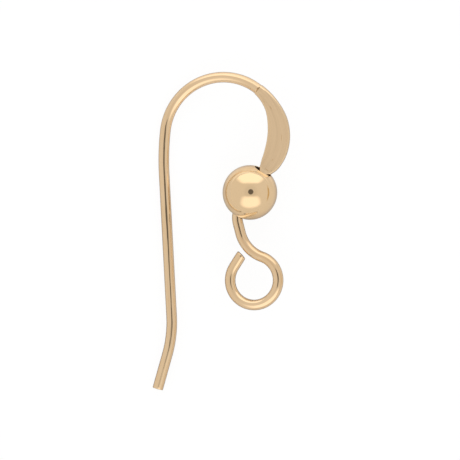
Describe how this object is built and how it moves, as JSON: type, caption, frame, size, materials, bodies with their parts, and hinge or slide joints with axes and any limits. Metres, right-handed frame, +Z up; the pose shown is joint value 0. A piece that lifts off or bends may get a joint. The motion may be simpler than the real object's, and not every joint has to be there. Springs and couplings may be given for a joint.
{
  "type": "ball ear wire",
  "caption": "Shepherd-hook ear wire bent from round gold wire, with a pressed flat front, a threaded hollow ball and an open loop for a drop.",
  "frame": {"origin": "on the surface it lies on, under the middle of the ear wire as seen from above", "axes": "+Z up from the surface, +Y up the ear wire from the tail's tip to the arch, +X from the leg towards the bead and the pressed front"},
  "size_m": [0.0078, 0.018, 0.0031],
  "materials": {
    "wire_gold": "polished pale gold on drawn wire, with fine draw lines; the pressed front is smoother and softly burnished by the dies",
    "bead_gold": "bright tumbled polish, pale gold, with faint handling marks"
  },
  "bodies": {
    "root": {"ear_hook": "wire_gold", "bead": "bead_gold"}
  },
  "joints": []
}
